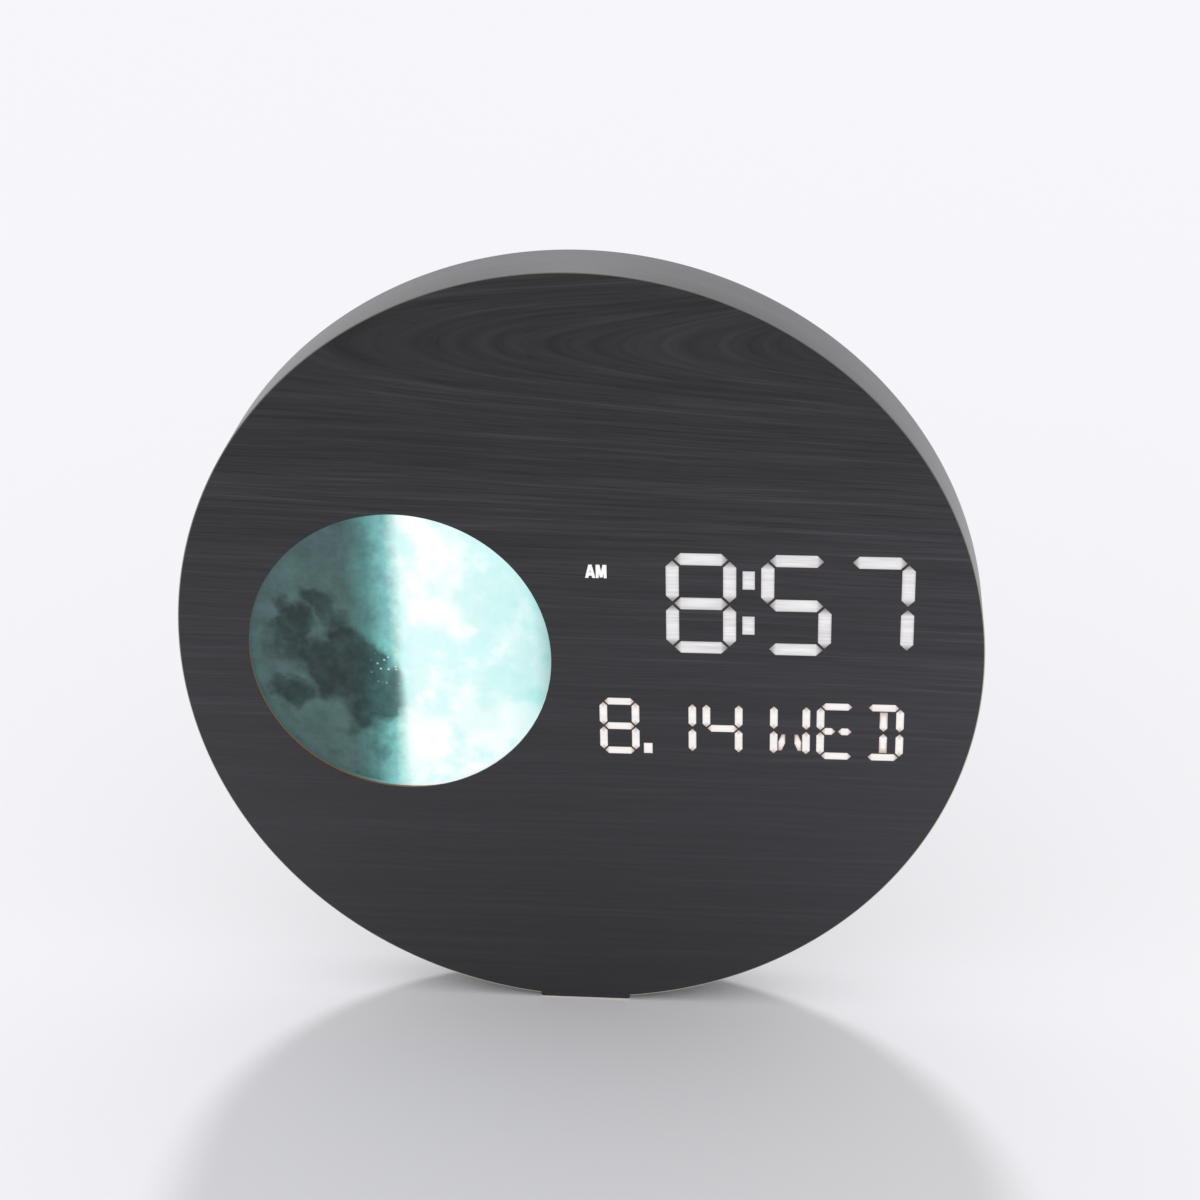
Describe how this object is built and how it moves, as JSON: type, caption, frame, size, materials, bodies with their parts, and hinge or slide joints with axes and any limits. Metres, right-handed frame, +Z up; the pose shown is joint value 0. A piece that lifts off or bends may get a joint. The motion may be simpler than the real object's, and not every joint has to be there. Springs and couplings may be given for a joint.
{
  "type": "moon phase desk clock",
  "caption": "Round wood-grain desk clock with a lit moon window, a time and date display and a fold-out rear leg.",
  "frame": {"origin": "middle of the base pad's flat underside, on the surface the clock stands on", "axes": "+Z up, -Y out of the face towards the viewer, +X to the viewer's right; the disc leans back 1.5 degrees"},
  "size_m": [0.25, 0.0898, 0.2508],
  "materials": {
    "wood_grain_film": "black printed wood-grain film, satin",
    "fibreboard": "bare medium-density fibreboard, routed",
    "black_board": "black-lacquered hardboard",
    "printed_moon": "translucent acrylic with a printed moon",
    "opal_diffuser": "frosted opal sheet",
    "white_reflector": "moulded white plastic",
    "circuit_board": "glass-fibre circuit board, green mask",
    "lamp": "small surface-mount lamps",
    "black_component": "black moulded electronic parts",
    "plunger": "pale switch plungers",
    "black_plastic": "black moulded plastic, fine texture",
    "inlet_plastic": "black moulded inlet",
    "rubber": "black rubber pads",
    "zinc_steel": "bright zinc-plated steel",
    "cell_steel": "polished steel cell case",
    "black_steel": "black-coated steel",
    "standoff_brass": "turned brass spacers"
  },
  "bodies": {
    "clock": {"face_film": "wood_grain_film", "edge_film": "wood_grain_film", "face_board": "fibreboard", "body": "fibreboard", "back_cover": "black_board", "moon_disc": "printed_moon", "moon_diffuser": "opal_diffuser", "diffuser_sheets": "opal_diffuser", "moon_light_box": "white_reflector", "time_reflector": "white_reflector", "date_reflector": "white_reflector", "moon_led_board": "circuit_board", "display_board": "circuit_board", "control_board": "circuit_board", "moon_leds": "lamp", "time_leds": "lamp", "date_leds": "lamp", "control_chips": "black_component", "buzzer": "black_component", "switch_bodies": "black_component", "cell_holder": "black_plastic", "power_inlet": "inlet_plastic", "base_pad": "rubber", "hanger_plate": "zinc_steel", "hanger_screws": "zinc_steel", "cell_contact": "zinc_steel", "inlet_nut": "zinc_steel", "frame_screws": "zinc_steel", "board_screws": "zinc_steel", "backup_cell": "cell_steel", "hinge_bracket": "black_steel", "hinge_pin": "black_steel", "bracket_screws": "black_steel", "cover_screws": "black_steel", "standoffs": "standoff_brass"},
    "leg": {"support_leg": "black_plastic", "leg_pad": "rubber"},
    "cell_cap": {"cell_cap": "black_plastic"},
    "button_1": {"button_1": "black_plastic", "switch_plunger_1": "plunger"},
    "button_2": {"button_2": "black_plastic", "switch_plunger_2": "plunger"},
    "button_3": {"button_3": "black_plastic", "switch_plunger_3": "plunger"},
    "button_4": {"button_4": "black_plastic", "switch_plunger_4": "plunger"}
  },
  "joints": [
    {"name": "leg_fold", "type": "hinge", "parent": "clock", "child": "leg", "pos_m": [0, 0.01661, 0.01915], "axis": [1, 0, 0], "range_deg": [0, 102]},
    {"name": "cell_cap_turn", "type": "hinge", "parent": "clock", "child": "cell_cap", "pos_m": [-0.045, 0.01179, 0.04928], "axis": [0, 0.9997, -0.0262], "range_deg": [0, 60]},
    {"name": "button_1_press", "type": "slide", "parent": "clock", "child": "button_1", "axis": [0, -0.9997, 0.0262], "range_m": [0, 0.0006], "stiffness_N_per_m": 2500},
    {"name": "button_2_press", "type": "slide", "parent": "clock", "child": "button_2", "axis": [0, -0.9997, 0.0262], "range_m": [0, 0.0006], "stiffness_N_per_m": 2500},
    {"name": "button_3_press", "type": "slide", "parent": "clock", "child": "button_3", "axis": [0, -0.9997, 0.0262], "range_m": [0, 0.0006], "stiffness_N_per_m": 2500},
    {"name": "button_4_press", "type": "slide", "parent": "clock", "child": "button_4", "axis": [0, -0.9997, 0.0262], "range_m": [0, 0.0006], "stiffness_N_per_m": 2500}
  ]
}
